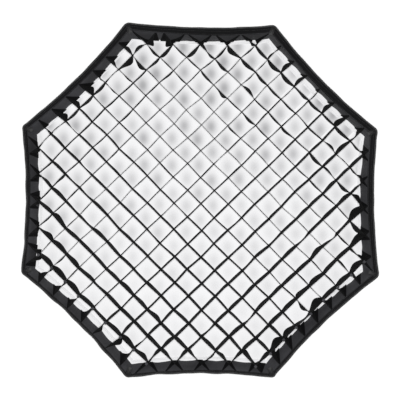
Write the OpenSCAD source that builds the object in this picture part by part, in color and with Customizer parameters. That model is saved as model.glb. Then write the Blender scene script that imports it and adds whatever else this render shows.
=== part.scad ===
// Fabric honeycomb grid for an eight-sided softbox, with the white diffuser that sits behind it.
// It lies flat: +Z is the front, towards the subject, and Z = 0 is the back of the diffuser.

/* [Outline] */
// Distance between opposite corners, measured where the sides would meet
corner_span = 950; // [760:10:1150]
// How far the middle of each side is pulled in from a straight line
side_bow = 11; // [4:1:20]
// Radius of the rounded corners
corner_r = 14; // [10:1:20]

/* [Louvres] */
// Distance between neighbouring louvres of one direction
cell_pitch = 47; // [40:1:80]
// Height of a louvre from its back edge to its front edge
louvre_depth = 40; // [25:1:60]
// Thickness of the louvre cloth
louvre_t = 1; // [0.6:0.1:1.6]
// Gap round a louvre in the slots of the ones that it crosses
slot_clear = 0.3; // [0.1:0.05:0.5]
// Length of the end of a louvre that is folded flat on the collar and sewn down
tab_len = 9; // [5:1:14]

/* [Collar] */
// Distance from the outer edge to the front edge of the collar
rim_w = 15; // [12:1:25]
// How much further in the back edge of the collar is than its front edge
funnel = 6; // [2:1:20]
// Thickness of the collar cloth
collar_t = 1.5; // [0.8:0.1:2.5]
// Width of the binding tape up the outside of the collar's back edge
binding_w = 8; // [5:1:10]
// Thickness of the binding tape
binding_t = 1; // [0.5:0.1:1.5]

/* [Rim] */
// Thickness of the flat rim band
rim_t = 2; // [1:0.1:3]
// Diameter of the piping round the outer edge
piping_d = 6; // [4:0.5:8]
// Thickness of the cloth patch on each corner
patch_t = 1.2; // [0.6:0.1:2]
// Radius of a corner patch
patch_r = 13; // [8:1:18]
// Width of the hook tape on the outside of the collar
hook_w = 16; // [10:1:20]
// Thickness of the hook tape
hook_t = 1.6; // [1:0.1:2.5]
// Distance from the back of the rim band down to the hook tape
hook_drop = 3; // [1:1:6]
// Gap between the ends of two lengths of fastening tape at a corner
tape_gap = 8; // [4:1:20]

/* [Diffuser] */
// Distance from the outer edge of the grid to the edge of the diffuser
diffuser_inset = 14; // [8:1:20]
// Thickness of the diffuser cloth
cloth_t = 0.8; // [0.4:0.1:1.5]
// Width of the turned hem of the diffuser
hem_w = 22; // [12:1:30]
// Width of the fastening tape under the hem
tape_w = 20; // [10:1:25]
// Thickness of the fastening tape
tape_t = 1.2; // [0.8:0.1:2]
// Gap between the diffuser's hem and the grid that rests over it
rest_gap = 0.3; // [0.2:0.1:1]

/* [Hidden] */
sides = 8;
side_step = 360 / sides;
mitre = side_step / 2;
arc_fn = 360;
eps = 1;
// Gap between cloth layers that lie on each other along a slanted face
seam_gap = 0.02;
// Gap between the mitred ends of two flat strips
mitre_gap = 0.4;
// Room for the piping's straight facets, between it and the band
facet_gap = 0.2;
// Sides of the piping's section, and its rings along a side and round a corner
tube_sides = 10;
side_rings = 10;
corner_rings = 4;

function hundredth(x) = round(100 * x) / 100;

// One side is an arc, centred outside the grid on the side's own normal.
half_side = corner_span / 2 * sin(mitre);
apothem = corner_span / 2 * cos(mitre);
arc_r = hundredth((half_side * half_side + side_bow * side_bow) / (2 * side_bow));
arc_c = apothem - side_bow + arc_r;
sweep_half = asin(half_side / arc_r) + 1;

// A rounded corner is an arc about a point on the line from the centre to the corner,
// tangent to both sides.
corner_c = arc_c * cos(mitre) - sqrt(pow(arc_r + corner_r, 2) - pow(arc_c * sin(mitre), 2));
corner_phi = atan2(corner_c * sin(mitre), arc_c - corner_c * cos(mitre));

// Heights, from the back of the diffuser to the front of the rim.
cloth_z = tape_t;
hem_z = cloth_z + cloth_t;
binding_z = hem_z + cloth_t + rest_gap;
back_z = binding_z + binding_t;
front_z = back_z + louvre_depth;
rim_z = front_z - rim_t;
piping_z = front_z - rim_t / 2;
top_z = front_z + piping_d;
mid_z = (back_z + front_z) / 2;
// The flat bands stop short of the round of the piping at a corner.
band_edge = piping_d + facet_gap;
tip_r = corner_c + (corner_r - band_edge) * cos(mitre + corner_phi);

// Distance in from the outer edge of the collar's outer and inner face at a height.
function outer_inset(z) = hundredth(rim_w + funnel * (front_z - z) / louvre_depth);
function inner_inset(z) = outer_inset(z) + collar_t;

// Louvres each side of the middle one, as many as the opening holds with room for the folded
// ends of the others between the outermost one and the collar.
opening_half = apothem - side_bow - inner_inset(back_z);
n = floor((opening_half - 2 * louvre_t - slot_clear) / cell_pitch);
first = -n;
last = n;

// Family a runs from top left to bottom right, family b from bottom left to top right.
function heading(family) = family == "a" ? -45 : 45;

function two_digits(i) = str(i < 10 ? "0" : "", i);
function louvre_name(family, i) = str("louvre_", family, "_", two_digits(i + n + 1));
function collar_name(k) = str("collar_panel_", k + 1);

cloth_black = [0.09, 0.09, 0.10];
band_black = [0.06, 0.06, 0.06];
charcoal = [0.20, 0.20, 0.22];
diffuser_white = [0.94, 0.94, 0.95];

// ---- shared shapes ----

// The slice of the plan that belongs to side k, between the mitres at its two corners
module slice(k, gap = 0) {
    apex = gap / 2 / sin(mitre);
    rotate([0, 0, k * side_step])
        translate([apex, 0, -eps])
            linear_extrude(top_z + 2 * eps)
                polygon([[0, 0],
                         [corner_span, -corner_span * tan(mitre)],
                         [corner_span, corner_span * tan(mitre)]]);
}

// A profile of [distance in from the outer edge, height] points swept along side k
module side_sweep(k, profile) {
    rotate([0, 0, k * side_step])
        translate([arc_c, 0, 0])
            rotate([0, 0, 180 - sweep_half])
                rotate_extrude(angle = 2 * sweep_half, $fn = arc_fn)
                    polygon([for (p = profile) [arc_r + p[0], p[1]]]);
}

// The same strip, mitred to its neighbours
module mitred_strip(k, profile, gap = 0) {
    intersection() {
        side_sweep(k, profile);
        slice(k, gap);
    }
}

// Everything beyond a distance in from the outer edge of side k
module beyond_side(k, inset) {
    rotate([0, 0, k * side_step])
        translate([arc_c, 0, -eps])
            cylinder(h = top_z + 2 * eps, r = arc_r + inset, $fn = arc_fn);
}

// The plan with its corners cut square to the mitres, just inside the piping
module inside_tips() {
    translate([0, 0, -eps])
        cylinder(h = top_z + 2 * eps, r = tip_r / cos(mitre), $fn = sides);
}

// ---- louvres ----

// Where a louvre's line meets side k, as a distance along the louvre, for the end that heads out
// in the direction dir (1 or -1). Sides that it runs away from give a distance out of reach.
function reach(family, i, k, dir) =
    let (along = dir * cos(heading(family) - k * side_step),
         across = cos(heading(family) + 90 - k * side_step))
    along < 0.1 ? 10 * corner_span : (apothem - i * cell_pitch * across) / along;

function nearest_reach(family, i, dir) = min([for (k = [0:sides - 1]) reach(family, i, k, dir)]);

// The sides that cut this end of the louvre: the one it meets, and its neighbour near a corner
function end_sides(family, i, dir, margin) =
    [for (k = [0:sides - 1])
        if (reach(family, i, k, dir) < nearest_reach(family, i, dir) + margin) k];

// An end is folded away from the louvre that it crosses last. Where the next one that it would
// cross ends too close beside it for two folded ends, it is folded the other way.
function fold_way(family, i, dir, k) =
    let (away = cos(heading(family) + 90 - k * side_step) > 0.1 ? -1 : 1,
         past = meeting(family, i, dir, k)[3],
         next = ceil(past / cell_pitch),
         apart = sqrt(2) * (next * cell_pitch - past))
    next <= last && apart < 2 * (tab_len + 2 * louvre_t) ? -away : away;

// A block in the louvre's own directions: x along it, y across it, about its own middle line
module along_louvre(family, i) {
    rotate([0, 0, heading(family)])
        translate([0, i * cell_pitch, 0])
            children();
}

module louvre_plate(family, i) {
    along_louvre(family, i)
        translate([-corner_span / 2, -louvre_t / 2, back_z])
            cube([corner_span, louvre_t, louvre_depth]);
}

// Where a louvre's line meets the collar's inner face at half its height, in side k's own
// directions: [distance out, distance along, angle round the side's arc, distance from the
// louvre's middle]
function meeting(family, i, dir, k) =
    let (h = heading(family) - k * side_step,
         out = dir * cos(h),
         along = dir * sin(h),
         x = -i * cell_pitch * sin(h) - arc_c,
         y = i * cell_pitch * cos(h),
         r = arc_r + inner_inset(mid_z),
         b = x * out + y * along,
         t = -b - sqrt(b * b - x * x - y * y + r * r))
    [arc_c + x + t * out, y + t * along, atan2(y + t * along, -x - t * out), t];

// How much further out the collar's inner face is at a height than at half its height
function lean(z) = inner_inset(mid_z) - inner_inset(z);

// A flat slab that leans as the collar does, where a louvre meets side k: near and far are its
// distances in from the collar's inner face
module leaning_slab(family, i, dir, k, near, far, width) {
    m = meeting(family, i, dir, k);
    low = back_z - eps;
    high = front_z + eps;
    rotate([0, 0, k * side_step])
        translate([m[0], m[1], 0])
            rotate([90, 0, -m[2]])
                linear_extrude(width, center = true)
                    polygon([[lean(low) - far, low],
                             [lean(high) - far, high],
                             [lean(high) - near, high],
                             [lean(low) - near, low]]);
}

// The end of a louvre that is folded and lies on the collar, between the louvre that it crossed
// last and the next one of that direction, if there is one
module end_tab(family, i, dir, k) {
    way = fold_way(family, i, dir, k);
    crossed = min(floor(meeting(family, i, dir, k)[3] / cell_pitch), last);
    side_room = louvre_t / 2 + slot_clear;
    near = crossed * cell_pitch + side_room;
    far = crossed < last ? (crossed + 1) * cell_pitch - side_room : corner_span / 2;
    intersection() {
        leaning_slab(family, i, dir, k, seam_gap, seam_gap + louvre_t, 4 * (tab_len + funnel));
        along_louvre(family, i)
            translate([dir > 0 ? near : -far, way > 0 ? -louvre_t / 2 : -tab_len, back_z])
                cube([far - near, tab_len + louvre_t / 2, louvre_depth]);
        slice(k);
    }
}

// Everything past the middle of the folded end's thickness
module past_fold(family, i, dir, k) {
    leaning_slab(family, i, dir, k, -corner_span, seam_gap + louvre_t / 2, 2 * corner_span);
}

// Half-lap slots: family a is slotted from the back, family b from the front.
module lap_slots(family, i) {
    slot_w = louvre_t + 2 * slot_clear;
    slot_h = louvre_depth / 2 + slot_clear;
    slot_z = family == "a" ? back_z - eps : front_z - slot_h;
    along_louvre(family, i)
        for (j = [first:last])
            translate([j * cell_pitch - slot_w / 2, -tab_len - eps, slot_z])
                cube([slot_w, 2 * (tab_len + eps), slot_h + eps]);
}

module louvre(family, i) {
    margin = 2 * (rim_w + funnel);
    color(cloth_black)
        difference() {
            union() {
                difference() {
                    louvre_plate(family, i);
                    for (dir = [-1, 1])
                        for (k = end_sides(family, i, dir, margin))
                            past_fold(family, i, dir, k);
                }
                for (dir = [-1, 1])
                    for (k = end_sides(family, i, dir, 0.01))
                        end_tab(family, i, dir, k);
            }
            lap_slots(family, i);
        }
}

// ---- collar and rim ----

// One side of the funnel that the louvres are sewn into
module collar_panel(k) {
    color(charcoal)
        mitred_strip(k, [[outer_inset(back_z), back_z],
                         [inner_inset(back_z), back_z],
                         [inner_inset(front_z), front_z],
                         [outer_inset(front_z), front_z]]);
}

// Flat band that laps over the front edge of the softbox
module rim_band() {
    color(band_black)
        for (k = [0:sides - 1])
            intersection() {
                mitred_strip(k, [[band_edge, rim_z],
                                 [outer_inset(rim_z) - seam_gap, rim_z],
                                 [outer_inset(front_z) - seam_gap, front_z],
                                 [band_edge, front_z]], mitre_gap);
                inside_tips();
            }
}

// Points on the middle line of the piping, each with the angle of its outward normal, along
// side k and round the corner that follows it
function side_path(k) =
    [for (s = [0:side_rings - 1])
        let (a = corner_phi * (2 * s / side_rings - 1),
             r = arc_r + piping_d / 2)
        turned([arc_c - r * cos(a), r * sin(a), -a], k * side_step)];
function corner_path(k) =
    [for (s = [0:corner_rings - 1])
        let (a = (mitre + corner_phi) * (2 * s / corner_rings - 1),
             r = corner_r - piping_d / 2)
        turned([corner_c + r * cos(a), r * sin(a), a], k * side_step + mitre)];
function turned(p, angle) =
    [p[0] * cos(angle) - p[1] * sin(angle), p[0] * sin(angle) + p[1] * cos(angle), p[2] + angle];

// One closed cord round the whole edge
module edge_piping() {
    path = [for (k = [0:sides - 1]) each concat(side_path(k), corner_path(k))];
    rings = len(path);
    points = [for (p = path, s = [0:tube_sides - 1])
        let (t = 360 * s / tube_sides, out = piping_d / 2 * cos(t))
        [p[0] + out * cos(p[2]), p[1] + out * sin(p[2]), piping_z + piping_d / 2 * sin(t)]];
    faces = [for (i = [0:rings - 1], s = [0:tube_sides - 1])
        let (i2 = (i + 1) % rings, s2 = (s + 1) % tube_sides)
        [i * tube_sides + s, i * tube_sides + s2, i2 * tube_sides + s2, i2 * tube_sides + s]];
    color(band_black)
        polyhedron(points, faces);
}

// A rounded leaf of cloth sewn over the corner after side k, up to the piping
module corner_patch(k) {
    intersection() {
        difference() {
            rotate([0, 0, k * side_step + mitre])
                translate([corner_c, 0, front_z])
                    cylinder(h = patch_t, r = patch_r, $fn = 64);
            beyond_side(k, band_edge);
            beyond_side(k + 1, band_edge);
        }
        inside_tips();
    }
}

module corner_patches() {
    color(charcoal)
        for (k = [0:sides - 1])
            corner_patch(k);
}

// Hook tape on the outside of the collar, which holds the grid in the mouth of the softbox
module hook_tape() {
    tape_top = rim_z - hook_drop;
    tape_low = tape_top - hook_w;
    color(band_black)
        for (k = [0:sides - 1])
            mitred_strip(k, [[outer_inset(tape_low) - seam_gap - hook_t, tape_low],
                             [outer_inset(tape_low) - seam_gap, tape_low],
                             [outer_inset(tape_top) - seam_gap, tape_top],
                             [outer_inset(tape_top) - seam_gap - hook_t, tape_top]], tape_gap);
}

// Binding folded under the back edge of the collar and up its outside
module back_binding() {
    binding_top = back_z + binding_w;
    color(band_black)
        for (k = [0:sides - 1])
            mitred_strip(k, [[outer_inset(binding_z) - seam_gap - binding_t, binding_z],
                             [inner_inset(back_z), binding_z],
                             [inner_inset(back_z), back_z],
                             [outer_inset(back_z) - seam_gap, back_z],
                             [outer_inset(binding_top) - seam_gap, binding_top],
                             [outer_inset(binding_top) - seam_gap - binding_t, binding_top]],
                         mitre_gap);
}

// ---- diffuser ----

module diffuser_cloth() {
    color(diffuser_white)
        translate([0, 0, cloth_z])
            difference() {
                cylinder(h = cloth_t, r = corner_span / 2, $fn = arc_fn);
                for (k = [0:sides - 1])
                    translate([0, 0, -cloth_z])
                        beyond_side(k, diffuser_inset);
            }
}

// A flat strip along the edge of the diffuser
module edge_strip(k, z, width, thickness, gap) {
    mitred_strip(k, [[diffuser_inset, z],
                     [diffuser_inset + width, z],
                     [diffuser_inset + width, z + thickness],
                     [diffuser_inset, z + thickness]], gap);
}

module diffuser_hem() {
    color(diffuser_white)
        for (k = [0:sides - 1])
            edge_strip(k, hem_z, hem_w, cloth_t, mitre_gap);
}

module diffuser_tape() {
    color(band_black)
        for (k = [0:sides - 1])
            edge_strip(k, 0, tape_w, tape_t, tape_gap);
}

for (i = [first:last]) louvre("a", i);
for (i = [first:last]) louvre("b", i);
for (k = [0:sides - 1]) collar_panel(k);
rim_band();
edge_piping();
corner_patches();
hook_tape();
back_binding();
diffuser_cloth();
diffuser_hem();
diffuser_tape();
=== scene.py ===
"""Fabric honeycomb grid over its white diffuser, lying face up on a pale floor."""
import math
import random

import bpy
import numpy as np
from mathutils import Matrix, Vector


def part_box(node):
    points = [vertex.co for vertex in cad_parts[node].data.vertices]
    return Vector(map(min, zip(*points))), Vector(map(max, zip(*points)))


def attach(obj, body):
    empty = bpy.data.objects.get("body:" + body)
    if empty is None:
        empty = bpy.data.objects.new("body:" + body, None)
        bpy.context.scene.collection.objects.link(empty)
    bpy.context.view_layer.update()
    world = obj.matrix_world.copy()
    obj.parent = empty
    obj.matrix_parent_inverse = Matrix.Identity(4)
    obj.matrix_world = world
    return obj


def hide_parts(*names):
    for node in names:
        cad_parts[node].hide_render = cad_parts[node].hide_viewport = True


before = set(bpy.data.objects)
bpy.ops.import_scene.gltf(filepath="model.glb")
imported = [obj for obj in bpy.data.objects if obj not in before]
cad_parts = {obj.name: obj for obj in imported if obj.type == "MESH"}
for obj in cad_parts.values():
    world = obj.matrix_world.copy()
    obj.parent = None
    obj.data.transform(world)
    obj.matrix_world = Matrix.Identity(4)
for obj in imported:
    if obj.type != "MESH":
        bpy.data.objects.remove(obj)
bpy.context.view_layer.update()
rng = random.Random(4107)

# ---------------------------------------------------------------- sizes, in metres, as in part.scad
SPAN, BOW, CORNER_R = 0.950, 0.011, 0.014
SIDES = 8
MITRE = math.pi / SIDES
HALF_SIDE = SPAN / 2 * math.sin(MITRE)
APOTHEM = SPAN / 2 * math.cos(MITRE)
ARC_R = (HALF_SIDE ** 2 + BOW ** 2) / (2 * BOW)
ARC_C = APOTHEM - BOW + ARC_R
RIM_W, PIPING_D = 0.015, 0.006
COLLAR_T, FUNNEL = 0.0015, 0.006
CELL, N_HALF = 0.047, 8
LOUVRES = range(1, 2 * N_HALF + 2)
DIFFUSER_INSET, HEM_W, TAPE_W, TAPE_GAP = 0.014, 0.022, 0.020, 0.008

BACK_Z, FRONT_Z = (corner.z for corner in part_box("louvre_a_09"))
DEPTH = FRONT_Z - BACK_Z
RIM_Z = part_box("rim_band")[0].z
cloth_lo, cloth_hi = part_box("diffuser_cloth")
HEM_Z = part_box("diffuser_hem")[0].z
TAPE_Z = sum(corner.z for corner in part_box("diffuser_tape")) / 2
COLLAR_BACK = RIM_W + COLLAR_T + FUNNEL
UP = np.array([0.0, 0.0, 1.0])

# ---------------------------------------------------------------- how the cloth hangs
# The lattice's back and front edges and the collar's back edge lie a little lower (towards -Y)
# than the rim
BACK_HANG = np.array([0.0025, -0.0078])
FRONT_HANG = np.array([0.0026, -0.0113])
COLLAR_HANG = np.array([-0.0022, -0.0042])
# The band shows widest at the top right, where the collar is pulled furthest off the rim
BAND_MEAN, BAND_SWING, BAND_HEADING = 0.0135, 0.0060, math.radians(65)
# How much further in the collar's back edge is pulled by the lattice at the middle of each side
PULL = (0.0050, -0.0037, 0.0040, 0.0092, 0.0082, 0.0055, 0.0092, 0.0098)
# The outline has slipped a little round from a true octagon: down over a broad stretch at the right,
# and a little out at the left and on both sides of the right. Reaches and headings are angles.
SLIP_DOWN, SLIP_HEADING, SLIP_REACH = 0.0085, math.radians(22), math.radians(62)
SLIP_LEFT, LEFT_HEADING, LEFT_REACH = 0.0030, math.radians(200), 0.6
SLIP_RIGHT, RIGHT_HEADING, RIGHT_REACH = 0.0035, math.radians(-24), 0.5
UPPER_SHARE, UPPER_HEADING, UPPER_REACH = 0.8, math.radians(66), 0.4

# The two directions of louvres: one is drawn together, the other spread and turned a little
PITCH = {"a": 0.988 * CELL, "b": 1.015 * CELL}
TILT_B = 0.018
ROOT = 1 / math.sqrt(2)
NORMAL = {"a": np.array([ROOT, ROOT]), "b": np.array([-ROOT, ROOT])}
ALONG = {"a": np.array([ROOT, -ROOT]), "b": np.array([ROOT, ROOT])}
offset = {(family, i): (i - N_HALF - 1) * PITCH[family] for family in "ab" for i in LOUVRES}
NUDGE, NUDGE_MOST = 0.0011, 0.0022      # how far a crossing is drawn off its place
# How far the back edge of a stretch of louvre bellies out: in the middle of the grid, and what comes
# on top of that near the collar, at the top, and on the outermost louvres, less at the upper right
BELLY_LEAST, BELLY_EDGE, BELLY_TOP, BELLY_OUTER, BELLY_CORNER = 0.0004, 0.0009, 0.0012, 0.0030, 0.0012
# What comes on top of that in some parts of the grid: shares of x and y that give the direction, the
# distances that way between which it grows, and how much it is
BELLY_ZONES = {"a": ((1, 1, 0.12, 0.36, 0.0016), (-1, -1, 0.15, 0.40, 0.0012)),
               "b": ((1, -1, 0.10, 0.40, 0.0010), (-1, 1, 0.20, 0.40, 0.0004))}

LOUVRE_T, SLOT = 0.0007, 0.0014
# A louvre is thicker along its hemmed edges: shares of its thickness, and of its depth
EDGE_T, FIELD_T, EDGE_SHARE = 1.2, 0.85, 0.15
END_ROOM = 0.003        # a crossing nearer than this to the collar is left out
ROWS = 8                # strips of faces across a louvre's depth
FAN = 9                 # columns between the last crossing and the collar
STEPS = 10              # columns between two crossings
V_ROWS = np.linspace(0, 1, ROWS + 1)
TRIM = 0.0004           # how much a louvre's edges stay inside the lattice's height
COMMON_WAY = 0.8        # share of the louvres' stretches and ends that lean the common way
SLACK_MOST = 0.011
# The folded ends: columns of cloth along the collar, and the depth at which an end doesn't lean
TAB = (0.0020, 0.0055, 0.010, 0.015)
TAB_TAPER, LEAN_PIVOT = 0.2, 0.3
# By side: slack between the last crossing and the collar, how far an end's back edge stands off from
# its front edge along the collar, and how much of the folded end shows
END_BELLY = (0.0035, 0.0022, 0.0050, 0.0030, 0.0035, 0.0085, 0.0050, 0.0060)
FLARE = (0.009, 0.005, 0.012, 0.014, -0.010, 0.017, -0.009, 0.010)
TAB_SHARE = (1.0, 0.6, 1.0, 1.0, 1.0, 0.45, 1.0, 1.0)
# Size of the squares of cloth on the two lowest louvres' crossings, and the least room they need
# between the crossing and the collar
TACK, TACK_ROOM = 0.0066, 0.012

# The collar's back edge falls back by SCALLOP between two louvre ends SCALLOP_GAP or more apart
SCALLOP, SCALLOP_GAP = 0.0026, 0.040
GATHER = 0.00022        # depth of the collar's fine gathers
FLUTTER, FLUTTER_HEADING = 0.0009, math.radians(-125)
PIPING_Z = FRONT_Z - 0.001
PIPING_ROOM = PIPING_D * 0.9                    # how far in from the outline the corner leaves stay
# The rim webbing: its outer edge's distance in, how far its inner edge laps under the collar, and
# its height over the CAD band's back, with a low crown across it and a ripple
BAND_ROWS, BAND_T, BAND_OUTER, BAND_LAP = 7, 0.0016, 0.0042, 0.0006
BAND_LIFT, BAND_CROWN, BAND_RIPPLE = 0.0011, 0.0005, 0.0002
# A corner leaf: its reach, half its width and its thickness, then its height over the louvres' front
# edges, the height of its folds, how far its edge drops, and the height and radius of its bump
LEAF_R, LEAF_HALF, LEAF_T = 0.0130, 0.0058, 0.0009
LEAF_LIFT, LEAF_FOLD, LEAF_DROP, BUMP, BUMP_R = 0.0012, 0.0010, 0.0006, 0.0011, 0.0028
COLLAR_OUT = COLLAR_T / 2 + COLLAR_T * 0.4      # from the collar's nominal inner face to its outer one
HOOK_TOP, HOOK_LOW = 0.125, 0.525               # depths of the hook tape's edges
TAPE_LIFT, FIELD_LIFT = 0.0005, 0.0012          # middles of the hook tape's two layers off the collar
THREAD_R, HEM_THREAD_R = 0.0003, 0.0004
# Lengths of the stitches, and the gaps between them
RIM_STITCH, COLLAR_STITCH, HEM_STITCH = (0.0034, 0.0010), (0.0032, 0.0012), (0.0030, 0.0006)
# The hem and the two layers of fastening tape: heights of their middles, and thicknesses
HEM_LIFT, HEM_T, HEM_RIPPLE = 0.0004, 0.0005, 0.00008
FASTENING_LIFT, FASTENING_T = 0.0002, 0.0006
LOOPS_LIFT, LOOPS_T, LOOPS_MARGIN = -0.0003, 0.0005, 0.0015
RELIEF = 0.00025        # height of the diffuser's relief, which fades out near its edge
RELIEF_R, RELIEF_FADE = 0.33, 0.07

# Painted shadow spots on the diffuser, in shares of a cell, and how strong they are at the bottom and the
# top
SPOT_DROP, SPOT_STRAY, SPOT_WIDTH, SPOT_HEIGHT = 0.16, 0.20, 0.44, 0.60
SPOT_SIDE = 0.6         # shares of a cell to the side, for each metre from the middle
SPOT_FAINT, SPOT_DEEP, SPOT_REACH = 0.22, 0.84, 0.25
# the grey that the painted shadows mix into the diffuser's white
PAINTED_SHADOW_GREY = (0.40, 0.40, 0.41, 1)

CAMERA_DISTANCE, VIEW_WIDTH = 2.5, 0.986
SENSOR = 36
WORLD_LIGHT, KEY_SIZE, KEY_POWER = 0.36, 0.35, 71
SHARP = math.radians(42)        # folds sharper than this aren't shaded smooth


# ---------------------------------------------------------------- outline
def side_frame(k):
    """The directions out of side k and along it."""
    a = k * 2 * MITRE
    return np.array([math.cos(a), math.sin(a)]), np.array([-math.sin(a), math.cos(a)])


def mitre_angle(inset):
    """Half the sweep of a side's arc at a distance in from the edge, out to the mitre lines."""
    # the point (ARC_C - r cos(w), r sin(w)) lies on the line y = x tan(MITRE)
    return math.asin(min(1.0, ARC_C * math.sin(MITRE) / (ARC_R + inset))) - MITRE


def turn_between(a, b):
    """Angle from heading b to heading a, between minus and plus half a turn."""
    return (a - b + math.pi) % (2 * math.pi) - math.pi


def swell(a, heading, reach, power=2):
    """A smooth swell round a heading: 1 there, and fading to 0 beyond the reach."""
    return math.exp(-(turn_between(a, heading) / reach) ** power)


def slip(p):
    """How far the cloth outline has moved at the heading of plan point p."""
    a = math.atan2(p[1], p[0])
    down = swell(a, SLIP_HEADING, SLIP_REACH, 4)
    left = swell(a, LEFT_HEADING, LEFT_REACH)
    right = swell(a, RIGHT_HEADING, RIGHT_REACH) + UPPER_SHARE * swell(a, UPPER_HEADING, UPPER_REACH)
    return np.array([SLIP_RIGHT * right - SLIP_LEFT * left, 0.5 * SLIP_LEFT * left - SLIP_DOWN * down])


def side_point(k, w, inset):
    """Point on side k at arc angle w and a distance in from the outer edge."""
    n, t = side_frame(k)
    r = ARC_R + inset
    q = (ARC_C - r * math.cos(w)) * n + r * math.sin(w) * t
    return q + slip(q)


def ease(x, a, b):
    """Rises smoothly from 0 at a to 1 at b."""
    u = min(1.0, max(0.0, (x - a) / (b - a)))
    return u * u * (3 - 2 * u)


# ---------------------------------------------------------------- mesh helpers
def new_object(name, verts, faces):
    """A smooth-shaded mesh object, with its sharp folds kept."""
    mesh = bpy.data.meshes.new(name)
    mesh.from_pydata([tuple(v) for v in verts], [], faces)
    mesh.validate()
    mesh.update()
    mesh.shade_smooth()
    mesh.set_sharp_from_angle(angle=SHARP)
    obj = bpy.data.objects.new(name, mesh)
    bpy.context.scene.collection.objects.link(obj)
    return obj


def grid_normals(p):
    """Unit normals at a grid of points."""
    n = np.cross(np.gradient(p, axis=0), np.gradient(p, axis=1))
    return n / np.maximum(np.linalg.norm(n, axis=2, keepdims=True), 1e-12)


def sheet_mesh(name, p, thickness, keep=None, loop=False):
    """A closed thin cloth from a grid of points on its middle surface. thickness is one number, or
    one for each point; keep marks the cells that are there; loop joins the last row of points to
    the first."""
    nu, nv = p.shape[:2]
    normal = grid_normals(p)
    if loop:
        first, last = p[1] - p[-1], p[0] - p[-2]
        dv = np.gradient(p, axis=1)
        for row, du in ((0, first), (-1, last)):
            n = np.cross(du, dv[row])
            normal[row] = n / np.maximum(np.linalg.norm(n, axis=1, keepdims=True), 1e-12)
    half = np.broadcast_to(np.asarray(thickness, float), (nu, nv))[:, :, None] / 2
    top = p + normal * half
    bottom = p - normal * half
    verts = np.concatenate([top.reshape(-1, 3), bottom.reshape(-1, 3)])
    size = nu * nv
    rows = nu if loop else nu - 1
    if keep is None:
        keep = np.ones((rows, nv - 1), bool)
    faces = []

    def at(i, j):
        return (i % nu) * nv + j

    for i in range(rows):
        for j in range(nv - 1):
            if not keep[i, j]:
                continue
            a, b, c, d = at(i, j), at(i + 1, j), at(i + 1, j + 1), at(i, j + 1)
            faces.append((a, b, c, d))
            faces.append((size + a, size + d, size + c, size + b))
            west = keep[i - 1, j] if (i > 0 or loop) else False
            east = keep[(i + 1) % rows, j] if (i < rows - 1 or loop) else False
            if not west:
                faces.append((a, d, size + d, size + a))
            if not east:
                faces.append((c, b, size + b, size + c))
            if j == 0 or not keep[i, j - 1]:
                faces.append((b, a, size + a, size + b))
            if j == nv - 2 or not keep[i, j + 1]:
                faces.append((d, c, size + c, size + d))
    used = sorted({v for f in faces for v in f})
    renumber = {v: n for n, v in enumerate(used)}
    faces = [tuple(renumber[v] for v in f) for f in faces]
    return new_object(name, verts[used], faces)


def stitches(name, points, normals, length, gap, radius, around=6):
    """Small threads laid along a closed path of points, standing a little out of the cloth."""
    points, normals = np.array(points), np.array(normals)
    points = np.vstack([points, points[:1]])
    normals = np.vstack([normals, normals[:1]])
    run = np.concatenate([[0], np.cumsum(np.linalg.norm(np.diff(points, axis=0), axis=1))])
    count = int(run[-1] / (length + gap))
    angles = [2 * math.pi * q / around for q in range(around)]
    verts, faces = [], []
    for m in range(count):
        start = run[-1] * m / count
        centre = [np.array([np.interp(start + length * f, run, points[:, c]) for c in range(3)])
                  for f in (0.0, 0.5, 1.0)]
        up = np.array([np.interp(start + length / 2, run, normals[:, c]) for c in range(3)])
        up /= np.linalg.norm(up)
        across = np.cross(centre[2] - centre[0], up)
        across /= np.linalg.norm(across)
        base = len(verts)
        for c, size, lift in zip(centre, (0.55, 1.0, 0.55), (-0.2, 0.5, -0.2)):
            for a in angles:
                verts.append(c + radius * (up * (lift + size * math.sin(a)) + across * size * math.cos(a)))
        for low in (base, base + around):
            for q in range(around):
                q2 = (q + 1) % around
                faces.append((low + q, low + q2, low + around + q2, low + around + q))
        faces.append(tuple(base + q for q in reversed(range(around))))
        faces.append(tuple(base + 2 * around + q for q in range(around)))
    return new_object(name, verts, faces)


# ---------------------------------------------------------------- materials
def math_node(nt, operation, first, second=None):
    """The output of a new maths node, whose inputs are numbers or other nodes' outputs."""
    node = nt.nodes.new("ShaderNodeMath")
    node.operation = operation
    for socket, value in zip(node.inputs, (first, second)):
        if value is None:
            continue
        if isinstance(value, (int, float)):
            socket.default_value = value
        else:
            nt.links.new(value, socket)
    return node.outputs[0]


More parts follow.
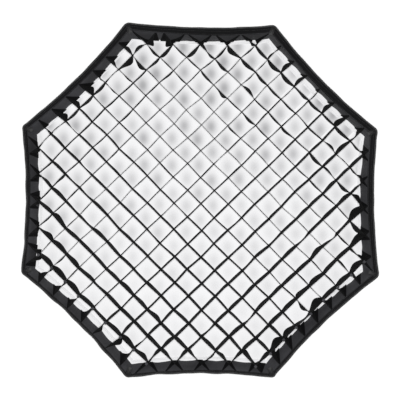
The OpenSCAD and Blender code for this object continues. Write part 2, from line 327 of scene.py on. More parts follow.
def cloth(name, color, tint=1.25, rough=0.75, sheen=0.3, thread=0.0011, bump=0.25, turn=0.0,
          specular=0.35):
    """Plain woven cloth: threads along X, Y and Z from wave textures, with soft colour variation."""
    m = bpy.data.materials.new(name)
    m.use_nodes = True
    nt = m.node_tree
    nodes, links = nt.nodes, nt.links
    bsdf = nodes["Principled BSDF"]
    bsdf.inputs["Roughness"].default_value = rough
    bsdf.inputs["Sheen Weight"].default_value = sheen
    bsdf.inputs["Sheen Roughness"].default_value = 0.45
    bsdf.inputs["Specular IOR Level"].default_value = specular
    coord = nodes.new("ShaderNodeTexCoord")
    mapping = nodes.new("ShaderNodeMapping")
    mapping.inputs["Rotation"].default_value = (0, 0, turn)
    links.new(coord.outputs["Object"], mapping.inputs["Vector"])
    weave = 0.0
    for direction in ("X", "Y", "Z"):
        wave = nodes.new("ShaderNodeTexWave")
        wave.wave_type = "BANDS"
        wave.bands_direction = direction
        # at a scale of 1 the bands repeat every 2 pi / 20
        wave.inputs["Scale"].default_value = 2 * math.pi / (20 * thread)
        wave.inputs["Distortion"].default_value = 0.6
        wave.inputs["Detail"].default_value = 1.0
        links.new(mapping.outputs["Vector"], wave.inputs["Vector"])
        weave = math_node(nt, "ADD", weave, wave.outputs["Fac"])
    noise = nodes.new("ShaderNodeTexNoise")
    noise.inputs["Scale"].default_value = 14
    noise.inputs["Detail"].default_value = 5
    links.new(coord.outputs["Object"], noise.inputs["Vector"])
    shades = nodes.new("ShaderNodeValToRGB")
    for stop, place, change in zip(shades.color_ramp.elements, (0.3, 0.72), (1 / tint, tint)):
        stop.position = place
        stop.color = (*[min(1, c * change) for c in color], 1)
    links.new(noise.outputs["Fac"], shades.inputs["Fac"])
    links.new(shades.outputs["Color"], bsdf.inputs["Base Color"])
    relief = nodes.new("ShaderNodeBump")
    relief.inputs["Strength"].default_value = bump
    relief.inputs["Distance"].default_value = 0.0003
    links.new(weave, relief.inputs["Height"])
    links.new(relief.outputs["Normal"], bsdf.inputs["Normal"])
    return m


MAT = {
    "louvre_cloth": cloth("louvre_cloth", (0.0055, 0.0055, 0.0060), rough=0.85, sheen=0.012, specular=0.04,
                          turn=math.pi / 4),
    "collar_cloth": cloth("collar_cloth", (0.040, 0.040, 0.044), rough=0.8, sheen=0.05, specular=0.12,
                          tint=1.45),
    "rim_webbing": cloth("rim_webbing", (0.0040, 0.0040, 0.0044), rough=0.75, sheen=0.02, thread=0.0016,
                         bump=0.5, specular=0.08),
    "piping_cloth": cloth("piping_cloth", (0.0050, 0.0050, 0.0055), rough=0.45, sheen=0.03, specular=0.30),
    "patch_cloth": cloth("patch_cloth", (0.0050, 0.0050, 0.0055), rough=0.5, sheen=0.03, specular=0.25),
    "hook_tape": cloth("hook_tape", (0.016, 0.016, 0.016), rough=0.9, thread=0.0022, bump=0.9, sheen=0.05),
    "binding_tape": cloth("binding_tape", (0.016, 0.016, 0.017), rough=0.7, thread=0.0015, bump=0.5,
                          sheen=0.05, specular=0.2),
    "diffuser_cloth": cloth("diffuser_cloth", (0.86, 0.86, 0.87), tint=1.02, rough=0.85, sheen=0.1,
                            thread=0.0009, bump=0.08),
    # the hem is a real doubled edge, but its grey, darker than the cloth's white, is painted shade near
    # the collar
    "diffuser_hem": cloth("diffuser_hem", (0.78, 0.78, 0.79), tint=1.02, rough=0.85, sheen=0.1,
                          thread=0.0009, bump=0.1),
    "diffuser_tape": cloth("diffuser_tape", (0.010, 0.010, 0.010), rough=0.9, thread=0.0022, bump=0.9,
                           sheen=0.05),
    "black_thread": cloth("black_thread", (0.014, 0.014, 0.015), rough=0.45, sheen=0.05, thread=0.0006),
    # the hem's stitches are real, but their grey is a painted shade line along the hem's crease
    "crease_shade_thread": cloth("crease_shade_thread", (0.52, 0.52, 0.53), rough=0.6, sheen=0.1, thread=0.0006),
}


def dress(obj, slot, body, look=None):
    """Gives a piece its material, which is its slot's own unless look names another."""
    obj.data.materials.clear()
    obj.data.materials.append(MAT[look or slot])
    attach(obj, body)


# ---------------------------------------------------------------- collar surface
def pull(a):
    """How much further in the collar's back edge is pulled at heading a."""
    turn = (a / (2 * MITRE)) % SIDES
    k = int(turn)
    f = ease(turn - k, 0, 1)
    return PULL[k % SIDES] * (1 - f) + PULL[(k + 1) % SIDES] * f


def collar_inset(v, p):
    """Distance in from the outer edge to the collar's inner face, at depth v, near plan point p."""
    a = math.atan2(p[1], p[0])
    front = BAND_MEAN + BAND_SWING * math.cos(a - BAND_HEADING)
    return front * (1 - v) + (COLLAR_BACK + pull(a)) * v


def inside_collar(p, v):
    """How far plan point p is inside the collar's inner face at depth v."""
    q = p - COLLAR_HANG * v - slip(p)
    reach = ARC_R + collar_inset(v, p)
    return min(np.linalg.norm(ARC_C * side_frame(k)[0] - q) for k in range(SIDES)) - reach


def side_and_angle(p, v):
    """The side of the collar that plan point p is on, and its angle round that side's arc."""
    q = p - COLLAR_HANG * v - slip(p)
    k = min(range(SIDES), key=lambda k: np.linalg.norm(ARC_C * side_frame(k)[0] - q))
    n, t = side_frame(k)
    return k, math.atan2(q @ t, ARC_C - q @ n)


# Where the louvres are sewn to the collar's back edge, side by side: filled as they are made
sewn = {k: [] for k in range(SIDES)}


def scallop(k, w):
    """How far the collar's back edge falls back from the louvres' ends, between two of them."""
    marks = sewn[k]
    for a, b in zip(marks, marks[1:]):
        if a <= w <= b and b > a:
            u = (w - a) / (b - a)
            return SCALLOP * min(1.0, (b - a) * ARC_R / SCALLOP_GAP) * math.sin(math.pi * u)
    return 0.0


def collar_point(k, w, v, inward=0.0):
    """Point at depth v (0 front, 1 back) on the collar's inner face, or further in from it."""
    p = side_point(k, w, RIM_W)
    q = side_point(k, w, collar_inset(v, p) + inward - scallop(k, w) * v ** 1.5) + COLLAR_HANG * v
    return np.array([q[0], q[1], FRONT_Z - v * DEPTH])


# ---------------------------------------------------------------- louvres
def hang(v):
    """How far the lattice hangs off its place in plan, at depth v."""
    return FRONT_HANG * (1 - v) + BACK_HANG * v


def line_point(family, off, s):
    """Plan point on a louvre's line, at a distance along it from the middle."""
    turn = TILT_B if family == "b" else 0.0
    return NORMAL[family] * (off - turn * s) + ALONG[family] * s


def line_end(family, off, v, direction):
    """Distance along a louvre's line, at depth v, to the collar's inner face."""
    near, far = 0.0, 0.6
    for _ in range(30):
        mid_s = (near + far) / 2
        if inside_collar(line_point(family, off, mid_s * direction) + hang(v), v) > LOUVRE_T / 2:
            near = mid_s
        else:
            far = mid_s
    return near * direction


def belly(family, x, y):
    """Typical distance that the back edge of one stretch of louvre bellies out, at a place."""
    edge = max(abs(x), abs(y), (abs(x) + abs(y)) * ROOT)
    size = BELLY_LEAST + BELLY_EDGE * ease(edge, 0.28, 0.40)
    rim = ease(max(abs(x + y), abs(x - y)), 0.46, 0.53)     # the outermost louvres hang slackest
    outer = BELLY_CORNER if x > 0 and y > 0 else BELLY_OUTER
    size += sum(most * ease(x_share * x + y_share * y, start, stop)
                for x_share, y_share, start, stop, most in BELLY_ZONES[family])
    return size + BELLY_TOP * ease(y, 0.27, 0.38) + outer * rim


def crossing_nudge(a, b):
    """How far the crossing of louvre a of one family and louvre b of the other has been drawn away."""
    draw = random.Random(1000 * a + b)
    return np.array([max(-NUDGE_MOST, min(NUDGE_MOST, draw.gauss(0, NUDGE))) for _ in range(2)])


def end_lean(family, off, direction):
    """The side that an end is sewn to, and how far each row of it leans along the collar."""
    middle = line_point(family, off, line_end(family, off, 0.5, direction)) + hang(0.5)
    k = side_and_angle(middle, 0.5)[0]
    way = 1 if rng.random() < COMMON_WAY else -1
    return k, way * FLARE[k] * rng.uniform(0.5, 1.1) * (V_ROWS - LEAN_PIVOT)


def crossings(family, i, lowest, highest):
    """Distances along louvre i to the ones it crosses, and how far each stretch's ends are drawn."""
    other, sign = ("b", -1) if family == "a" else ("a", 1)
    shift = TILT_B * offset[family, i] if family == "a" else 0.0
    crossed = sorted((sign * offset[other, j] + shift, j) for j in LOUVRES)
    crossed = [(s, j) for s, j in crossed if lowest + END_ROOM < s < highest - END_ROOM]
    nudge = [crossing_nudge(i, j) if family == "a" else crossing_nudge(j, i) for _, j in crossed]
    return [s for s, _ in crossed], [np.zeros(2)] + nudge + [np.zeros(2)]


def louvre_columns(knots, ends):
    """Columns of a louvre's cloth: the distance along at each depth, the stretch between two
    crossings that the column is in, and its share of the way along that stretch. Then the columns
    that have a slot after them."""
    columns, stretch, slots = [], [], []
    for u in np.linspace(0, 1, FAN):
        columns.append(ends[-1] * (1 - u) + (knots[0] - SLOT / 2) * u)
        stretch.append((0, u))
    for n, knot in enumerate(knots):
        slots.append(len(columns) - 1)
        if n < len(knots) - 1:
            after = np.linspace(knot + SLOT / 2, knots[n + 1] - SLOT / 2, STEPS)
            for u, s in zip(np.linspace(0, 1, STEPS), after):
                columns.append(np.full(ROWS + 1, s))
                stretch.append((n + 1, u))
    for u in np.linspace(0, 1, FAN):
        columns.append((knots[-1] + SLOT / 2) * (1 - u) + ends[1] * u)
        stretch.append((len(knots), u))
    return columns, stretch, slots


def stretch_shapes(family, off, knots, ends, end_belly):
    """For each stretch of a louvre: its slack, where that peaks, its lean and its wave."""
    toward = -1 if off - FRONT_HANG @ NORMAL[family] > 0 else 1
    shapes = []
    for n in range(len(knots) + 1):
        start = knots[n - 1] if n > 0 else ends[-1].mean()
        stop = knots[n] if n < len(knots) else ends[1].mean()
        x, y = line_point(family, off, (start + stop) / 2)
        size = belly(family, x, y) * rng.lognormvariate(0, 0.6)
        if n == 0 or n == len(knots):
            size += end_belly[-1 if n == 0 else 1] * rng.uniform(0.2, 1.2)
        side = toward if rng.random() < COMMON_WAY else -toward
        peak, lean, wave = rng.uniform(0.3, 0.7), rng.gauss(0, 0.0004), rng.gauss(0, 0.3)
        shapes.append((side * min(size, SLACK_MOST), peak, lean, wave))
    return shapes


def folded_end(family, row):
    """Points of an end folded flat on the collar, away from the louvre that was crossed last."""
    tab = np.zeros((len(TAB), ROWS + 1, 3))
    for r, v in enumerate(V_ROWS):
        k, w = side_and_angle(row[r, :2], v)
        n, t = side_frame(k)
        way = (-1 if NORMAL[family] @ n > 0.1 else 1) * (1 if NORMAL[family] @ t > 0 else -1)
        for c, far in enumerate(TAB):
            flat = far * TAB_SHARE[k] * (TAB_TAPER + (1 - TAB_TAPER) * v)
            tab[c, r] = collar_point(k, w + way * flat / ARC_R, v, LOUVRE_T * 0.7)
            tab[c, r, 2] = row[r, 2]
        if r == ROWS:
            sewn[k].append(w)
    return tab


def louvre_points(family, off, columns, stretch, shapes, nudge, skew):
    """Points of a louvre between the collar's two sides, column by column and row by row."""
    last = len(shapes) - 1
    p = np.zeros((len(columns), ROWS + 1, 3))
    for c, (s, (n, u)) in enumerate(zip(columns, stretch)):
        size, peak, lean, wave = shapes[n]
        drawn = nudge[n] * (1 - u) + nudge[n + 1] * u
        q = u ** (math.log(0.5) / math.log(peak))
        leaf = math.sin(math.pi * q)
        back = size * (leaf + 0.4 * wave * math.sin(2 * math.pi * q))
        twist = np.zeros(ROWS + 1)
        if n == 0:
            twist = skew[-1] * math.cos(math.pi / 2 * u)
        elif n == last:
            twist = skew[1] * math.sin(math.pi / 2 * u)
        for r, v in enumerate(V_ROWS):
            across = off + back * v ** 1.4 + lean * leaf * (1 - v) + twist[r]
            plan = line_point(family, across, s[r]) + hang(v) + drawn
            p[c, r] = (plan[0], plan[1], FRONT_Z - TRIM - v * (DEPTH - 2 * TRIM))
    return p


def louvre(family, i):
    """One strip of cloth on edge, with its half-lap slots and its folded ends."""
    off = offset[family, i]
    skew, end_belly = {}, {}
    for direction in (-1, 1):
        k, skew[direction] = end_lean(family, off, direction)
        end_belly[direction] = END_BELLY[k]
    ends = {}
    for direction in (-1, 1):
        lean = skew[direction]
        ends[direction] = np.array([line_end(family, off + lean[r], v, direction)
                                    for r, v in enumerate(V_ROWS)])
    knots, nudge = crossings(family, i, ends[-1].max(), ends[1].min())
    columns, stretch, slots = louvre_columns(knots, ends)
    shapes = stretch_shapes(family, off, knots, ends, end_belly)
    p = louvre_points(family, off, columns, stretch, shapes, nudge, skew)
    p = np.concatenate([folded_end(family, p[0])[::-1], p])
    p = np.concatenate([p, folded_end(family, p[-1])])

    keep = np.ones((len(p) - 1, ROWS), bool)
    half = slice(ROWS // 2, None) if family == "a" else slice(None, ROWS // 2)
    for c in slots:
        keep[c + len(TAB), half] = False
    at_edge = (V_ROWS < EDGE_SHARE) | (V_ROWS > 1 - EDGE_SHARE)
    thickness = LOUVRE_T * np.where(at_edge, EDGE_T, FIELD_T)
    obj = sheet_mesh(f"strip_{family}_{i:02d}", p, thickness[None, :], keep)
    dress(obj, "louvre_cloth", "grid")
    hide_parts(f"louvre_{family}_{i:02d}")


def tack_places():
    """Plan points of the crossings on the two lowest louvres, where the folded squares are sewn."""
    places = []
    for i in LOUVRES[1:-1]:
        for a, b in ((1, i), (i, 1)):
            s = TILT_B * offset["a", a] - offset["b", b]
            p = line_point("a", offset["a", a], s) + FRONT_HANG + crossing_nudge(a, b)
            if inside_collar(p, 0.0) > TACK_ROOM:
                places.append(p)
    return places


def crossing_tacks(places, turn=math.pi / 4):
    """Small squares of folded cloth with cut corners, each a thin closed pad on a crossing."""
    corners = [(-1, -0.7), (-0.7, -1), (0.7, -1), (1, -0.7), (1, 0.7), (0.7, 1), (-0.7, 1), (-1, 0.7)]
    layers = [(0.92, -0.0003), (1.0, 0.0), (1.0, 0.0004), (0.85, 0.0008)]
    c, q = math.cos(turn), math.sin(turn)
    verts, faces = [], []
    for x, y in places:
        base = len(verts)
        for share, z in layers:
            for u, w in corners:
                u, w = u * share * TACK / 2, w * share * TACK / 2
                verts.append((x + u * c - w * q, y + u * q + w * c, FRONT_Z + z))
        count = len(corners)
        for low in range(base, base + count * (len(layers) - 1), count):
            for a in range(count):
                b = (a + 1) % count
                faces.append((low + a, low + b, low + count + b, low + count + a))
        faces.append(tuple(base + a for a in reversed(range(count))))
        faces.append(tuple(base + count * (len(layers) - 1) + a for a in range(count)))
    obj = new_object("crossing_tacks", verts, faces)
    dress(obj, "louvre_cloth", "grid", "collar_cloth")


for family in "ab":
    for i in LOUVRES:
        louvre(family, i)
for marks in sewn.values():
    marks.sort()
crossing_tacks(tack_places())


# ---------------------------------------------------------------- collar, rim and piping
def wrinkle(k, w, v):
    """Fine gathers that run down the collar of side k, deepest at its back edge."""
    x, seed = w * ARC_R, k + 1.3
    f = math.sin(x / 0.0047 + seed) + 0.7 * math.sin(x / 0.0029 + 2.1 * seed)
    f += 0.6 * math.sin(x / 0.011 + 3 * seed)
    return GATHER * f * (0.3 + 0.7 * v)


def collar_panel(k, columns=193, rows=9):
    """The cloth of one side of the collar, with fine gathers and a scalloped back edge."""
    p = np.zeros((columns, rows, 3))
    for r in range(rows):
        v = r / (rows - 1)
        w_max = mitre_angle(COLLAR_BACK * v + RIM_W * (1 - v))
        for c in range(columns):
            w = w_max * (2 * c / (columns - 1) - 1)
            p[c, r] = collar_point(k, w, v, -COLLAR_T / 2 + wrinkle(k, w, v))
    obj = sheet_mesh(f"collar_cloth_{k + 1}", p, COLLAR_T * 0.8)
    dress(obj, "collar_cloth", "grid")
    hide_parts(f"collar_panel_{k + 1}")


for k in range(SIDES):
    collar_panel(k)


def flutter(p):
    """The rim isn't quite even: it wavers by up to a millimetre, most along the lower left."""
    a = math.atan2(p[1], p[0])
    strength = 0.35 + 0.65 * max(0.0, math.cos(a - FLUTTER_HEADING))
    return FLUTTER * strength * (math.sin(29 * a + 0.7) + 0.6 * math.sin(47 * a + 2.0))


def band_point(k, w, r):
    """Point of row r of the rim webbing, which runs from under the piping to the collar."""
    u = r / (BAND_ROWS - 1)
    outer = side_point(k, w, PIPING_D)
    inset = BAND_OUTER * (1 - u) + (collar_inset(0, outer) + BAND_LAP) * u
    q = side_point(k, w, inset - flutter(outer) * (1 - u))
    z = RIM_Z + BAND_LIFT + BAND_CROWN * math.sin(math.pi * u) + BAND_RIPPLE * math.sin(9 * u + 40 * w)
    return (q[0], q[1], z)


def rim_webbing(columns=60):
    """The flat band between the piping and the collar, in one loop."""
    p = np.zeros((SIDES * columns, BAND_ROWS, 3))
    for k in range(SIDES):
        for r in range(BAND_ROWS):
            w_max = mitre_angle(RIM_W / 2 if r == 0 else RIM_W)
            for c in range(columns):
                p[k * columns + c, r] = band_point(k, w_max * (2 * c / columns - 1), r)
    webbing = sheet_mesh("rim_webbing", p, BAND_T, loop=True)
    dress(webbing, "rim_webbing", "grid")
    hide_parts("rim_band")


rim_webbing()

# The rounded corners touch both sides' arcs: how far out their centres are, and where they touch
corner_c = ARC_C * math.cos(MITRE) - math.sqrt((ARC_R + CORNER_R) ** 2 - (ARC_C * math.sin(MITRE)) ** 2)
corner_phi = math.atan2(corner_c * math.sin(MITRE), ARC_C - corner_c * math.cos(MITRE))


def piping_path(along=64, round_corner=10):
    """Points of the piping's middle in plan, each with the direction out of the grid there."""
    path = []
    for k in range(SIDES):
        n, t = side_frame(k)
        for c in range(along):
            w = corner_phi * (2 * c / along - 1)
            p = side_point(k, w, PIPING_D / 2)
            out = n * math.cos(w) - t * math.sin(w)
            path.append((p + out * flutter(p), out))
        heading = (2 * k + 1) * MITRE
        for c in range(round_corner):
            a = heading + (MITRE + corner_phi) * (2 * c / round_corner - 1)
            out = np.array([math.cos(a), math.sin(a)])
            q = corner_c * np.array([math.cos(heading), math.sin(heading)])
            q = q + out * (CORNER_R - PIPING_D / 2)
            path.append((q + slip(q), out))
    return path


def piping(path, around=14):
    """A cord in cloth along the whole edge, a little uneven in thickness."""
    verts, faces = [], []
    for m, (p, out) in enumerate(path):
        radius = PIPING_D / 2 * (0.90 + 0.05 * math.sin(m * 0.9) * math.sin(m * 0.13))
        for s in range(around):
            a = 2 * math.pi * s / around
            reach = radius * math.cos(a)
            verts.append((p[0] + out[0] * reach, p[1] + out[1] * reach, PIPING_Z + radius * math.sin(a)))
    for m in range(len(path)):
        m2 = (m + 1) % len(path)
        for s in range(around):
            s2 = (s + 1) % around
            faces.append((m * around + s, m2 * around + s, m2 * around + s2, m * around + s2))
    cord = new_object("piping", verts, faces)
    dress(cord, "piping_cloth", "grid")
    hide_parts("edge_piping")


piping(piping_path())

for name, row in (("rim_stitches_outer", 2), ("rim_stitches_inner", 5)):
    w_max = mitre_angle(RIM_W / 2)
    path = [band_point(k, w_max * (2 * c / 60 - 1), row) for k in range(SIDES) for c in range(60)]
    path = [np.array(q) + UP * 0.0009 for q in path]
    thread = stitches(name, path, [UP] * len(path), *RIM_STITCH, THREAD_R)
    dress(thread, "rim_webbing", "grid", "black_thread")


def clear_of_piping(p):
    """Whether plan point p lies far enough inside the outline to miss the piping."""
    q = p - slip(p)
    for k in range(SIDES):
        n, _ = side_frame(k)
        if np.linalg.norm(ARC_C * n - q) < ARC_R + PIPING_ROOM:
            return False
    return np.linalg.norm(q) < corner_c + CORNER_R - PIPING_ROOM


def corner_leaf(k, spokes=72, rings=10):
    """A leaf of cloth folded over the corner after side k, with a bump where the rod's end is."""
    heading = (2 * k + 1) * MITRE
    middle = corner_c * np.array([math.cos(heading), math.sin(heading)])
    middle = middle + slip(middle)
    p = np.zeros((spokes, rings, 3))
    for c in range(spokes):
        a = heading + 2 * math.pi * c / spokes
        way = np.array([math.cos(a), math.sin(a)])
        reach = min(LEAF_R, LEAF_HALF / max(abs(math.sin(a - heading)), 0.05))
        while reach > 0.001 and not clear_of_piping(middle + way * reach):
            reach -= 0.0002
        for r in range(rings):
            u = 0.03 + 0.97 * r / (rings - 1)
            q = middle + way * reach * u
            fold = abs(math.sin(2.5 * (a - heading))) ** 0.5 * u * (1 - u) * 4
            bump = math.exp(-(reach * u / BUMP_R) ** 2)
            z = FRONT_Z + LEAF_LIFT + LEAF_FOLD * fold + BUMP * bump - LEAF_DROP * u
            p[c, r] = (q[0], q[1], z)
    obj = sheet_mesh(f"corner_leaf_{k + 1}", p, LEAF_T, loop=True)
    dress(obj, "patch_cloth", "grid")
    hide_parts("corner_patches")


for k in range(SIDES):
    corner_leaf(k)


def collar_strip(k, rows, columns=72, gap=0.004):
    """Points of a strip on the collar of side k: rows are (depth, distance in, height added)."""
    p = np.zeros((columns, len(rows), 3))
    for r, (v, inward, lift) in enumerate(rows):
        w_max = mitre_angle(COLLAR_BACK * v + RIM_W * (1 - v)) - gap / ARC_R
        for c in range(columns):
            w = w_max * (2 * c / (columns - 1) - 1)
            p[c, r] = collar_point(k, w, v, inward + wrinkle(k, w, v)) + UP * lift
    return p


def hook_tape(k):
    """The hook tape on the outside of side k's collar: the tape, and the layer of hooks on it."""
    depths = np.linspace(HOOK_TOP, HOOK_LOW, 7)
    tape_rows = [(v, -COLLAR_OUT - TAPE_LIFT, 0) for v in depths]
    hook_rows = [(v, -COLLAR_OUT - FIELD_LIFT, 0) for v in depths[1:-1]]
    base = sheet_mesh(f"hook_strip_{k + 1}", collar_strip(k, tape_rows), 0.0007)
    hooks = sheet_mesh(f"hook_field_{k + 1}", collar_strip(k, hook_rows, gap=0.0055), 0.0007)
    for piece in (base, hooks):
        dress(piece, "hook_tape", "grid")
        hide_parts("hook_tape")


def binding(k):
    """The tape folded under side k's collar and up its outside."""
    outside = -COLLAR_OUT - 0.0005
    fold = [(1.0, 0.0002, -0.0006), (1.0, -COLLAR_OUT / 2, -0.0007), (1.0, -COLLAR_OUT - 0.0001, -0.0005),
            (0.99, outside, 0.0), (0.94, outside - 0.0001, 0.0), (0.88, outside - 0.0001, 0.0),
            (0.80, outside, 0.0)]
    tape = sheet_mesh(f"binding_{k + 1}", collar_strip(k, fold, gap=0.0004), 0.0006)
    dress(tape, "binding_tape", "grid")
    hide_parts("back_binding")


def collar_stitches(name, depth, slot):
    """A row of stitches round the outside of the collar, at one depth."""
    path, normals = [], []
    for k in range(SIDES):
        n, _ = side_frame(k)
        for c in range(60):
            w = mitre_angle(RIM_W + 0.004) * (2 * c / 59 - 1) * 0.97
            path.append(collar_point(k, w, depth, -COLLAR_OUT - 0.0009 + wrinkle(k, w, depth)))
            normals.append(np.array([n[0], n[1], 0.0]))
    thread = stitches(name, path, normals, *COLLAR_STITCH, THREAD_R)
    dress(thread, slot, "grid", "black_thread")


for k in range(SIDES):
    hook_tape(k)
    binding(k)
collar_stitches("tape_stitches_top", 0.15, "hook_tape")
collar_stitches("tape_stitches_low", 0.50, "hook_tape")
collar_stitches("binding_stitches", 0.83, "binding_tape")

# ---------------------------------------------------------------- diffuser
def cloth_height(x, y):
    """Soft relief of the diffuser: it lies a little slack, with a hollow in each cell."""
    a, b = (x + y) * ROOT / PITCH["a"], (y - x) * ROOT / PITCH["b"]
    cell = math.cos(2 * math.pi * a) * math.cos(2 * math.pi * b)
    slack = math.sin(x / 0.061 + 1.1) * math.sin(y / 0.047 + 0.4) + 0.6 * math.sin((x + 0.4 * y) / 0.023)
    return RELIEF * cell + RELIEF * slack


def diffuser(rings=88, spokes=56):
    """The white cloth: a closed thin octagon of rings round its middle, flat near its edge."""
    verts = [(0, 0, 0)]
    w_max = mitre_angle(DIFFUSER_INSET)
    for r in range(1, rings + 1):
        for k in range(SIDES):
            for c in range(spokes):
                edge = side_point(k, w_max * (2 * c / spokes - 1), DIFFUSER_INSET)
                verts.append((edge[0] * r / rings, edge[1] * r / rings, 0))
    verts = np.array(verts)
    inner = 1 - np.clip((np.hypot(verts[:, 0], verts[:, 1]) - RELIEF_R) / RELIEF_FADE, 0, 1)
    lift = np.array([cloth_height(x, y) for x, y, _ in verts]) * inner
    middle = (cloth_lo.z + cloth_hi.z) / 2
    half = (cloth_hi.z - cloth_lo.z) * 0.4
    top, bottom = verts.copy(), verts.copy()
    top[:, 2] = middle + lift + half
    bottom[:, 2] = middle + lift - half
    size, around = len(verts), SIDES * spokes
    faces = []
    for c in range(around):
        c2 = (c + 1) % around
        faces.append((0, 1 + c, 1 + c2))
        faces.append((size, size + 1 + c2, size + 1 + c))
        for r in range(rings - 1):
            a, b = 1 + r * around + c, 1 + r * around + c2
            faces.append((a, a + around, b + around, b))
            faces.append((size + a, size + b, size + b + around, size + a + around))
        a, b = 1 + (rings - 1) * around + c, 1 + (rings - 1) * around + c2
        faces.append((b, a, size + a, size + b))
    return new_object("diffuser_sheet", np.concatenate([top, bottom]), faces)


def paint_cell_shadows(m):
    """Painted shadows on the diffuser: a soft grey spot in each cell, standing for the lattice's shade,
    deeper towards the top.
    """
    nt = m.node_tree
    bsdf = nt.nodes["Principled BSDF"]
    plain = bsdf.inputs["Base Color"].links[0].from_socket
    coord = nt.nodes.new("ShaderNodeTexCoord")
    split = nt.nodes.new("ShaderNodeSeparateXYZ")
    nt.links.new(coord.outputs["Object"], split.inputs["Vector"])
    x, y = split.outputs["X"], split.outputs["Y"]
    x = math_node(nt, "SUBTRACT", x, float(BACK_HANG[0]))
    y = math_node(nt, "SUBTRACT", y, float(BACK_HANG[1]))
    cells, rest = [], []
    for operation, pitch in (("ADD", PITCH["a"]), ("SUBTRACT", PITCH["b"])):
        across = math_node(nt, operation, y, x)
        across = math_node(nt, "MULTIPLY", across, ROOT / pitch)
        cells.append(math_node(nt, "FLOOR", across))
        rest.append(math_node(nt, "SUBTRACT", math_node(nt, "FRACT", across), 0.5))
    combine = nt.nodes.new("ShaderNodeCombineXYZ")
    nt.links.new(cells[0], combine.inputs["X"])
    nt.links.new(cells[1], combine.inputs["Y"])
    chance = nt.nodes.new("ShaderNodeTexWhiteNoise")
    chance.noise_dimensions = "2D"
    nt.links.new(combine.outputs["Vector"], chance.inputs["Vector"])
    stray = nt.nodes.new("ShaderNodeSeparateXYZ")
    nt.links.new(chance.outputs["Color"], stray.inputs["Vector"])
    level = math_node(nt, "SUBTRACT", rest[0], rest[1])
    level = math_node(nt, "ADD", level, math_node(nt, "MULTIPLY", stray.outputs["X"], SPOT_STRAY))
    level = math_node(nt, "SUBTRACT", level, math_node(nt, "MULTIPLY", x, SPOT_SIDE))
    upright = math_node(nt, "ADD", math_node(nt, "ADD", rest[0], rest[1]), SPOT_DROP)
    upright = math_node(nt, "ADD", upright, math_node(nt, "MULTIPLY", stray.outputs["Y"], SPOT_STRAY))
    wide = math_node(nt, "POWER", math_node(nt, "DIVIDE", level, SPOT_WIDTH), 2.0)
    tall = math_node(nt, "POWER", math_node(nt, "DIVIDE", upright, SPOT_HEIGHT), 2.0)
    spot = math_node(nt, "EXPONENT", math_node(nt, "MULTIPLY", math_node(nt, "ADD", wide, tall), -1.0))
    strength = math_node(nt, "ADD", math_node(nt, "MULTIPLY", chance.outputs["Value"], 0.6), 0.7)
    height = nt.nodes.new("ShaderNodeMapRange")
    height.inputs["From Min"].default_value = -SPOT_REACH
    height.inputs["From Max"].default_value = SPOT_REACH
    height.inputs["To Min"].default_value = SPOT_FAINT
    height.inputs["To Max"].default_value = SPOT_DEEP
    nt.links.new(y, height.inputs["Value"])
    shade = math_node(nt, "MULTIPLY", math_node(nt, "MULTIPLY", spot, strength), height.outputs["Result"])
    mix = nt.nodes.new("ShaderNodeMixRGB")
    mix.blend_type = "MIX"
    mix.inputs["Color2"].default_value = PAINTED_SHADOW_GREY
    nt.links.new(shade, mix.inputs["Fac"])
    nt.links.new(plain, mix.inputs["Color1"])
    nt.links.new(mix.outputs["Color"], bsdf.inputs["Base Color"])


# the diffuser's grey spots are painted shadow in its colour, not cast by the lattice
paint_cell_shadows(MAT["diffuser_cloth"])
white = diffuser()
dress(white, "diffuser_cloth", "diffuser")
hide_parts("diffuser_cloth")


def edge_strip(k, inset, width, height, gap, ripple=0.0, rows=7, columns=90):
    """Points of a flat strip along side k of the diffuser, at a height, with a slight ripple."""
    p = np.zeros((columns, rows, 3))
    for r in range(rows):
        u = r / (rows - 1)
        w_max = mitre_angle(inset + width * u) - gap / 2 / ARC_R
        for c in range(columns):
            w = w_max * (2 * c / (columns - 1) - 1)
            q = side_point(k, w, inset + width * u)
            x = w * ARC_R
            wave = math.sin(x / 0.013 + k) + 0.5 * math.sin(x / 0.0051 + 2 * k)
            p[c, r] = (q[0], q[1], height + ripple * wave * u)
    return p


def hem_and_tape(k):
    """The turned hem along side k of the diffuser, and the two-layer fastening tape under it."""
    p = edge_strip(k, DIFFUSER_INSET, HEM_W, HEM_Z + HEM_LIFT, 0.0006, HEM_RIPPLE)
    hem = sheet_mesh(f"hem_{k + 1}", p, HEM_T)
    dress(hem, "diffuser_hem", "diffuser")
    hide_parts("diffuser_hem")
    p = edge_strip(k, DIFFUSER_INSET, TAPE_W, TAPE_Z + FASTENING_LIFT, TAPE_GAP)
    base = sheet_mesh(f"fastening_tape_{k + 1}", p, FASTENING_T)
    p = edge_strip(k, DIFFUSER_INSET + LOOPS_MARGIN, TAPE_W - 2 * LOOPS_MARGIN, TAPE_Z + LOOPS_LIFT,
                   TAPE_GAP + 2 * LOOPS_MARGIN)
    loops = sheet_mesh(f"fastening_field_{k + 1}", p, LOOPS_T)
    for piece in (base, loops):
        dress(piece, "diffuser_tape", "diffuser")
        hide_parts("diffuser_tape")


def hem_stitches(name, inset):
    """A row of stitches round the hem, at a distance in from the outer edge of the grid, grey as a painted
    shade line along the hem's crease.
    """
    path = []
    for k in range(SIDES):
        for c in range(60):
            q = side_point(k, mitre_angle(inset) * (2 * c / 60 - 1), inset)
            path.append(np.array([q[0], q[1], HEM_Z + 0.0007]))
    thread = stitches(name, path, [UP] * len(path), *HEM_STITCH, HEM_THREAD_R)
    dress(thread, "diffuser_hem", "diffuser", "crease_shade_thread")


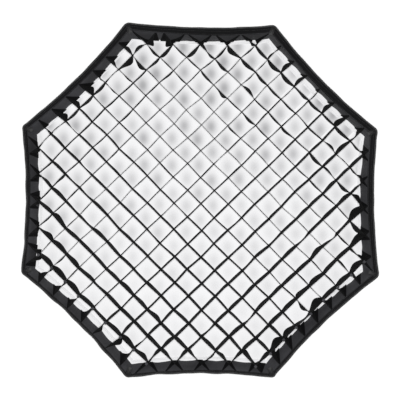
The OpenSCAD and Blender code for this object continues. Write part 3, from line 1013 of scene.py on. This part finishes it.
for k in range(SIDES):
    hem_and_tape(k)
hem_stitches("hem_stitches_outer", DIFFUSER_INSET + HEM_W - 0.0050)
hem_stitches("hem_stitches_inner", DIFFUSER_INSET + HEM_W - 0.0020)


# ---------------------------------------------------------------- floor, light and camera
def lay_floor():
    """A plain pale floor just under the object."""
    bpy.ops.mesh.primitive_plane_add(size=12, location=(0, 0, -0.0005))
    floor = bpy.context.object
    floor.name = "floor"
    material = bpy.data.materials.new("floor")
    material.use_nodes = True
    bsdf = material.node_tree.nodes["Principled BSDF"]
    bsdf.inputs["Base Color"].default_value = (0.93, 0.93, 0.93, 1)
    bsdf.inputs["Roughness"].default_value = 0.9
    floor.data.materials.append(material)


def light_world(strength):
    """Even white light from all round."""
    world = bpy.data.worlds.new("studio")
    bpy.context.scene.world = world
    world.use_nodes = True
    background = world.node_tree.nodes["Background"]
    background.inputs["Color"].default_value = (1, 1, 1, 1)
    background.inputs["Strength"].default_value = strength


def area_light(name, place, size, power, target=(0, 0, 0)):
    """A square soft light that faces the target."""
    data = bpy.data.lights.new(name, "AREA")
    data.shape = "SQUARE"
    data.size = size
    data.energy = power
    lamp = bpy.data.objects.new(name, data)
    bpy.context.scene.collection.objects.link(lamp)
    lamp.location = place
    lamp.rotation_euler = (Vector(target) - Vector(place)).to_track_quat("-Z", "Y").to_euler()


def place_camera():
    """Straight above the middle; the lens frames VIEW_WIDTH at the height of the grid's front."""
    data = bpy.data.cameras.new("camera")
    camera = bpy.data.objects.new("camera", data)
    bpy.context.scene.collection.objects.link(camera)
    camera.location = (0, 0, FRONT_Z + CAMERA_DISTANCE)
    data.sensor_width = SENSOR
    data.lens = SENSOR * CAMERA_DISTANCE / VIEW_WIDTH
    bpy.context.scene.camera = camera


lay_floor()
light_world(WORLD_LIGHT)
# the light is small and just above the camera, so the louvres hide the shadows that they cast
area_light("key", (0.0, 0.0, FRONT_Z + CAMERA_DISTANCE + 0.1), KEY_SIZE, KEY_POWER)
place_camera()
bpy.context.scene.view_settings.view_transform = "Standard"
